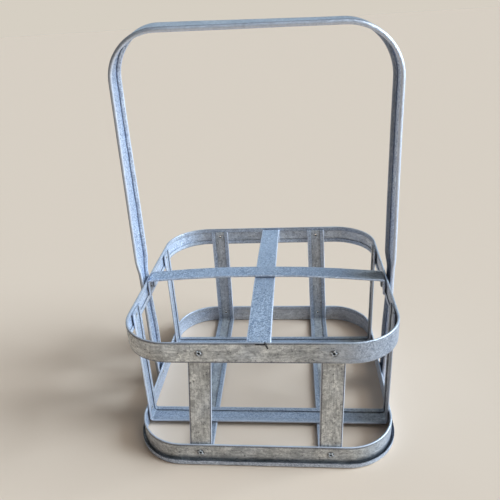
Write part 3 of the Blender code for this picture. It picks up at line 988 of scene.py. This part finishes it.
def galvanized(name, finish):
    """Zinc-coated steel: sparkling spangle, dull warm blotches, streaks and specks, folds bright with wear
    and painted highlight, and painted shade in creases and crevices.
    """
    material, tree, shader = new_material(name)
    at = surface_values(tree, finish.seed)
    dull = dull_share(at, finish)
    crease = crease_share(at, finish)
    color = dull.painted(clean_zinc(at, finish.tone), dull_zinc(at, finish.tone))
    color = with_streaks(at, dull, color)
    color = with_folds(at, finish, crease, color)
    color = with_places(at, finish, color)
    # Painted light and shade on the handle's bar and legs.
    if finish.is_handle:
        color = color.scaled(handle_light_and_shade(at))
    with_joints(at, finish, color).to(shader.inputs["Base Color"])
    (at.speck.span(0.2, 0.8, 0.36, 0.48) + dull * 0.14).to(shader.inputs["Roughness"])
    dull.span(0.0, 1.0, 0.55, 0.25).to(shader.inputs["Metallic"])
    zinc_normal(at, finish, dull, crease).to(shader.inputs["Normal"])
    return material


def shaded_bore():
    """Painted shade inside a punched hole: near black, a little uneven."""
    material, tree, shader = new_material("shaded_bore")
    where = node(tree, "ShaderNodeTexCoord", result="Object")
    color = noise_at(where, BORE_SCALE).painted(toned(BORE_SHADE), toned(BORE_SHADE_GREY))
    color.to(shader.inputs["Base Color"])
    shader.inputs["Roughness"].default_value = 0.85
    return material


def petal_places(seed):
    """The petals round a joint: angle, length in millimetres and half width."""
    petals = []
    angle = 0.9 * seed
    while angle < 0.9 * seed + 2 * math.pi - 0.5:
        long = 1.3 + 1.2 * wave((angle, 0.3, 0.1), 0.8, seed)
        half = 0.34 + 0.1 * wave((angle, 0.7, 0.5), 0.6, seed)
        petals.append((angle, max(0.25, min(2.1, long)), half))
        angle += 1.25 + 0.5 * wave((angle, 0.9, 0.4), 0.7, seed)
    return petals


def joint_profile(bore, tip, lift, grip):
    """Radius and height up the bore, round the flange, down the neck and round the petal's tip."""
    neck = JOINT_NECK
    low = -0.10 * MM
    return [
        (bore, grip * 0.5),
        (bore * 1.05, grip - 0.35 * MM),
        (neck * 0.96, grip + 0.02 * MM),
        (neck + 0.45 * MM, grip + 0.16 * MM),
        (neck + 0.55 * MM, grip + 0.07 * MM),
        (neck + 0.02 * MM, grip + 0.05 * MM),
        (neck, grip * 0.5),
        (neck, low + 0.08 * MM),
        (neck + (tip - neck) * 0.6, low - 0.12 * MM),
        (tip * 0.98, low - 0.20 * MM),
        (tip, low - 0.34 * MM),
        (tip * 0.95, low - 0.46 * MM),
        (neck + (tip - neck) * 0.5, low - lift),
        (neck, low - lift - 0.10 * MM),
        (bore * 1.12, low - lift * 0.9),
        (bore, low + 0.1 * MM),
    ]


def rosette_mesh(name, grip, seed):
    """A clinched joint along +Z: uneven torn petals below zero, a flange above the grip."""
    bore = JOINT_BORE + BORE_CHANGE * wave((0.4, 0.2, 0.0), 0.7, seed)
    petals = petal_places(seed)
    verts = []
    for k in range(JOINT_SIDES):
        angle = 2 * math.pi * k / JOINT_SIDES
        ring = Vector((math.cos(angle), math.sin(angle), 0.0))
        reach = 0.12
        for middle, long, half in petals:
            apart = abs((angle - middle + math.pi) % (2 * math.pi) - math.pi)
            reach = max(reach, long * (1 - min(1.0, apart / (half * 1.6)) ** 2))
        tip = JOINT_NECK + (reach + 0.1 * wave(ring, 0.25, seed)) * MM
        lift = (0.62 + 0.25 * wave(ring, 0.6, seed + 9)) * MM
        profile = joint_profile(bore, tip, lift, grip)
        verts += [(radius * ring.x, radius * ring.y, height) for radius, height in profile]
    count = len(profile)
    materials = [1 if j in (0, count - 1) else 0 for j in range(count)]
    mesh = bpy.data.meshes.new(name)
    mesh.from_pydata(verts, [], swept_faces(count, JOINT_SIDES, closed=True))
    mesh.materials.append(zinc_joint)
    mesh.materials.append(joint_bore)
    mesh.polygons.foreach_set("material_index", materials * JOINT_SIDES)
    point_out(mesh)
    mesh.shade_smooth()
    mesh.set_sharp_from_angle(angle=JOINT_SHARP)
    return mesh


def add_joint(name, outer_point, inward, grip):
    """Place a clinched joint with its petals on the outer face, standing for its CAD rivet."""
    seed = next(joint_seeds)
    item = placed(name + "_clinch", rosette_mesh(name + "_clinch", grip, seed))
    item.location = outer_point
    item.rotation_mode = "QUATERNION"
    spin = Matrix.Rotation(seed * JOINT_TURN, 4, "Z").to_quaternion()
    item.rotation_quaternion = Vector(inward).to_track_quat("Z", "Y") @ spin
    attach(item, "root")
    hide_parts(name)


def moved(point, direction, distance):
    """A point moved along a direction."""
    return tuple(p + d * distance for p, d in zip(point, direction))


def add_strap(number, name):
    """One U strap with its four joints. The hoops' lists gain its holes and joint places."""
    crosswise = name in SIDE_TO_SIDE
    floor = UPPER_FLOOR if crosswise else STRAP_FLOOR
    quarter = math.pi / 2 if crosswise else 0.0
    walls = ("right", "left") if crosswise else ("front", "rear")
    grip = HALF_HOOP - STRAP_FACE + SHEET
    holes = []
    joints = []
    for leg, side in ((0, -1), (1, 1)):
        for level, height in LEVELS:
            outer = turned(Vector((run_at(STRAP_RUNS[name][leg], height), side * HALF_HOOP)), quarter)
            inward = turned(Vector((0.0, -float(side))), quarter)
            spot = (outer.x, outer.y, height)
            axis = (inward.x, inward.y, 0.0)
            holes.append((moved(spot, axis, grip - SHEET / 2), axis))
            joints.append(spot)
            hoop_holes[level].append((moved(spot, axis, SHEET / 2), axis))
            hoop_joints[level].append(spot)
            add_joint("_".join(("rivet", level, walls[leg], name.removeprefix("strap_"))), spot, axis, grip)
    path = strap_path(STRAP_RUNS[name], floor, quarter)
    bulge = STRAP_TOP - floor - STRAP_CRIMP_RISE
    crimps = [(bulge, *STRAP_CRIMP), (path[1] - bulge, *STRAP_CRIMP)]
    finish = Finish(
        seed=0.37 + 0.11 * number,
        dull_outside=1.0, dull_inside=0.12 if crosswise else 0.8,
        tone=0.94 if name == "strap_left" else 1.0, floor_shade_tone=0.66,
        dull_and_shadow_right=65 * MM if crosswise else None,
        fades=((100 * MM, 110 * MM, 0.6),), joints=joints,
    )
    made = sweep(name, path, strip_section, 20 + 7 * number, crimps=crimps)
    dressed(name, made, holes, galvanized("zinc_" + name, finish))


def tab_crimps(total):
    """Places where a divider's folds bulge: twice down each bent end and once at its bend."""
    return [(place, reach, size) for down, reach, size in TAB_CRIMPS
            for place in (DIVIDER_TAB - down, total - DIVIDER_TAB + down)]


def add_divider(name, path, holes, seed, zinc):
    """One arched divider with its bulging tabs."""
    made = sweep(name, path, strip_section, seed, crimps=tab_crimps(path[1]))
    dressed(name, made, holes, zinc)


def add_handle_joints():
    """The handle's four joints, with the holes and places they need in the strips that they hold."""
    handle_holes = []
    divider_holes = []
    joints = []
    for wall, side in (("left", -1), ("right", 1)):
        for level, height in LEVELS:
            face = LEG_FACE_TOP if level == "top" else LEG_FACE_LOW
            held = STRAP_FACE if level == "top" else HALF_HOOP
            inward = (-side, 0.0, 0.0)
            spot = (side * face, CROSS_PLACE, height)
            joints.append(spot)
            handle_holes.append(((side * (face - HANDLE_SHEET / 2), CROSS_PLACE, height), (1, 0, 0)))
            hoop_holes[level].append(((side * (HALF_HOOP - SHEET / 2), CROSS_PLACE, height), inward))
            if level == "top":
                divider_holes.append(((side * (STRAP_FACE - SHEET / 2), CROSS_PLACE, height), (1, 0, 0)))
            add_joint("rivet_" + level + "_" + wall + "_handle", spot, inward, face - held + SHEET)
    return handle_holes, divider_holes, joints


def add_handle(holes, joints):
    """The tall handle of thicker strip."""
    finish = Finish(seed=0.71, dull_outside=0.45, dull_inside=0.0, tone=0.98, sparkle=0.22, crease_dark=0.9,
                    hem_shade_and_dirt=0.1, joints=joints, is_handle=True)
    section = hemmed_section(HANDLE_FOLD, HANDLE_HEM_SHARE, HANDLE_BEVEL)
    made = sweep("handle", handle_path(), section, 83)
    dressed("handle", made, holes, galvanized("zinc_handle", finish))


def seam_slits():
    """The short slit and the oblique tear that mark the top hoop's seam, each as ends and width."""
    wall = -HALF_HOOP + SHEET / 2
    left, right = [Vector((x, wall, z)) for x, z in (SEAM_LEFT, SEAM_RIGHT)]
    top, foot = [right + Vector((x, 0, z)) for x, z in (TEAR_TOP, TEAR_FOOT)]
    return [(left, right, SEAM_WIDTH), (top, foot, TEAR_WIDTH)]


def add_top_hoop():
    """The upper band, with its seam at the front."""
    slits = seam_slits()
    finish = Finish(
        seed=0.11, dull_outside=1.0, dull_inside=0.6,
        tone=1.02, inside_tone=1.1025, rim_tone=0.48, sparkle=0.15,
        clean_right=42 * MM, clean_left=-70 * MM,
        fades=((12 * MM, 40 * MM, 0.87), (60 * MM, 100 * MM, 0.80)),
        joints=hoop_joints["top"],
        slit_shades=[one.lerp(two, k / SLIT_SHADE_PARTS) for one, two, _ in slits for k in range(SLIT_SHADE_PARTS + 1)],
    )
    made = sweep("top_hoop", hoop_path(TOP_HOOP_MIDDLE), strip_section, 91, closed=True)
    dressed("top_hoop", made, hoop_holes["top"], galvanized("zinc_top_hoop", finish), slits)


def add_bottom_hoop():
    """The lower band, which stands on its rolled gutter."""
    finish = Finish(
        seed=0.23, dull_outside=1.0, dull_inside=0.6,
        # The lower tone is painted shade near the floor.
        tone=0.88, inside_tone=1.05, rim_tone=0.8, sparkle=0.2, root_shade=0.85,
        clean_right=80 * MM, clean_left=-60 * MM,
        fades=((65 * MM, 100 * MM, 0.80),), joints=hoop_joints["bottom"],
    )
    made = sweep("bottom_hoop", hoop_path(0.0), gutter_section(), 97, closed=True)
    dressed("bottom_hoop", made, hoop_holes["bottom"], galvanized("zinc_bottom_hoop", finish))


def add_floor():
    """A plain pale matte floor."""
    material, _, shader = new_material("floor_pale")
    shader.inputs["Base Color"].default_value = toned(FLOOR_COLOR)
    shader.inputs["Roughness"].default_value = 1.0
    shader.inputs["Specular IOR Level"].default_value = 0.0
    reach = FLOOR_REACH
    mesh = bpy.data.meshes.new("floor")
    mesh.from_pydata([(-reach, -reach, 0), (reach, -reach, 0), (reach, reach, 0), (-reach, reach, 0)],
                     [], [(0, 1, 2, 3)])
    mesh.materials.append(material)
    floor = placed("floor", mesh)
    floor.location.z = cad_low.z - FLOOR_DROP


def add_surround():
    """Very little even light, and a pale backdrop that only the camera sees."""
    world = bpy.data.worlds.new("surround")
    bpy.context.scene.world = world
    world.use_nodes = True
    sky = world.node_tree
    even = sky.nodes["Background"]
    even.inputs["Color"].default_value = toned(SURROUND_COLOR)
    even.inputs["Strength"].default_value = SURROUND_STRENGTH
    backdrop = node(sky, "ShaderNodeBackground", {"Color": toned(BACKDROP_COLOR), "Strength": 1.0})
    seen = node(sky, "ShaderNodeLightPath", result="Is Camera Ray")
    both = node(sky, "ShaderNodeMixShader", {0: seen, 1: Value(sky, even.outputs[0]), 2: backdrop})
    both.to(sky.nodes["World Output"].inputs["Surface"])


def add_lamp(name, azimuth, elevation, width, strength, color):
    """A soft distant light that comes from an azimuth and an elevation in degrees."""
    data = bpy.data.lights.new(name, "SUN")
    data.angle = math.radians(width)
    data.energy = strength
    data.color = color
    around = math.radians(azimuth)
    up = math.radians(elevation)
    away = Vector((math.cos(around) * math.cos(up), math.sin(around) * math.cos(up), math.sin(up)))
    item = placed(name, data)
    item.rotation_mode = "QUATERNION"
    item.rotation_quaternion = (-away).to_track_quat("-Z", "Y")


def add_camera():
    """The camera that sees the carrier as the photograph does."""
    data = bpy.data.cameras.new("camera")
    data.sensor_width = SENSOR_WIDTH
    data.lens = SENSOR_WIDTH * FOCAL_PIXELS / PHOTO_PIXELS
    data.clip_start, data.clip_end = CAMERA_RANGE
    camera = placed("camera", data)
    facing = Matrix.Rotation(-CAMERA_YAW, 4, "Z") @ Matrix.Rotation(math.pi / 2 - CAMERA_PITCH, 4, "X")
    rolled = Matrix.Rotation(CAMERA_ROLL, 4, "Z")
    camera.matrix_world = Matrix.Translation(CAMERA_PLACE) @ facing @ rolled
    bpy.context.scene.camera = camera


joint_seeds = itertools.count(1)
zinc_joint = galvanized("zinc_joint", Finish(seed=0.19, dull_outside=0.8, dull_inside=0.8, tone=0.95))
joint_bore = shaded_bore()
strip_section = hemmed_section(STRIP_FOLD, HEM_SHARE, EDGE_ROUND)
hoop_holes = {"top": [], "bottom": []}
hoop_joints = {"top": [], "bottom": []}

for number, name in enumerate(STRAP_RUNS):
    add_strap(number, name)

lower_path = divider_path((DIVIDER_END_RISE, DIVIDER_END_RISE), DIVIDER_PEAK, DIVIDER_RUN, 0.0)
lower_finish = Finish(seed=0.53, dull_outside=0.03, dull_inside=0.03, tone=0.77, rim_tone=1.12,
                      sparkle=0.42, crease_dark=0.1)
add_divider("divider_front_to_back", lower_path, [], 61, galvanized("zinc_divider", lower_finish))

handle_holes, divider_holes, handle_joints = add_handle_joints()
upper_path = divider_path(CROSS_END_RISES, CROSS_PEAK, (CROSS_PLACE / HOOP_SIZE,) * 2, math.pi / 2)
# Its dull right end and its darker fade there are painted shadow of the handle's right leg.
upper_finish = Finish(seed=0.61, dull_outside=0.03, dull_inside=0.03, tone=0.79, sparkle=0.55,
                      crease_dark=0.2, dull_and_shadow_right=70 * MM, fades=((60 * MM, 100 * MM, 0.88),))
add_divider("divider_side_to_side", upper_path, divider_holes, 71, galvanized("zinc_cross", upper_finish))

add_handle(handle_holes, handle_joints)
add_top_hoop()
add_bottom_hoop()

add_floor()
add_surround()
for name, settings in LAMPS.items():
    add_lamp(name, *settings)
add_camera()
bpy.context.scene.view_settings.view_transform = "Standard"
